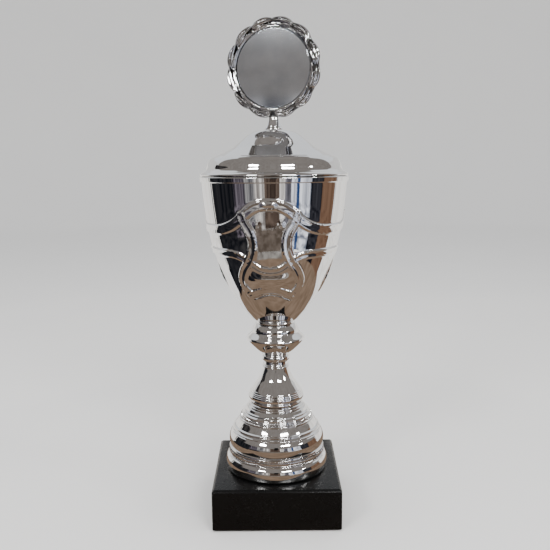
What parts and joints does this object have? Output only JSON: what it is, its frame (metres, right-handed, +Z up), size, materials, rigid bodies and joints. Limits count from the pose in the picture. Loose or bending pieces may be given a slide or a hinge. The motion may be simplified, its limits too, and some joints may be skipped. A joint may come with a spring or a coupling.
{
  "type": "cup trophy",
  "caption": "Tall lidded cup trophy: chromed bowl with a raised ribbon pattern on a turned stem and black stone plinth, topped by a laurel wreath medallion.",
  "frame": {"origin": "centre of the plane the felt pads rest on, on the axis of the cup", "axes": "+Z up along the cup's axis, -Y towards the front of the plinth"},
  "size_m": [0.0982, 0.0982, 0.3308],
  "materials": {
    "black_stone": "polished",
    "chromed_plastic": "polished",
    "chromed_sheet": "polished",
    "zinc_steel": "satin",
    "satin_aluminium": "satin",
    "felt": "matte",
    "foam_tape": "matte"
  },
  "bodies": {
    "cup": {"felt_pad_1": "felt", "felt_pad_2": "felt", "felt_pad_3": "felt", "felt_pad_4": "felt", "plinth": "black_stone", "threaded_rod": "zinc_steel", "lower_nut": "zinc_steel", "lower_washer": "zinc_steel", "foot_bell": "chromed_plastic", "stem_cone": "chromed_plastic", "stem_collar": "chromed_plastic", "stem_knop": "chromed_plastic", "cup_bowl": "chromed_sheet", "upper_washer": "zinc_steel", "upper_nut": "zinc_steel"},
    "lid": {"lid": "chromed_sheet", "lid_washer": "zinc_steel"},
    "wreath": {"wreath_holder": "chromed_plastic", "lid_screw": "zinc_steel", "emblem_tape": "foam_tape", "emblem_disc": "satin_aluminium"}
  },
  "joints": [
    {"name": "lid_lift", "type": "slide", "parent": "cup", "child": "lid", "axis": [0, 0, 1], "range_m": [0, 0.08]},
    {"name": "wreath_turn", "type": "hinge", "parent": "lid", "child": "wreath", "pos_m": [0, 0, 0.262], "axis": [0, 0, 1], "continuous": true}
  ]
}
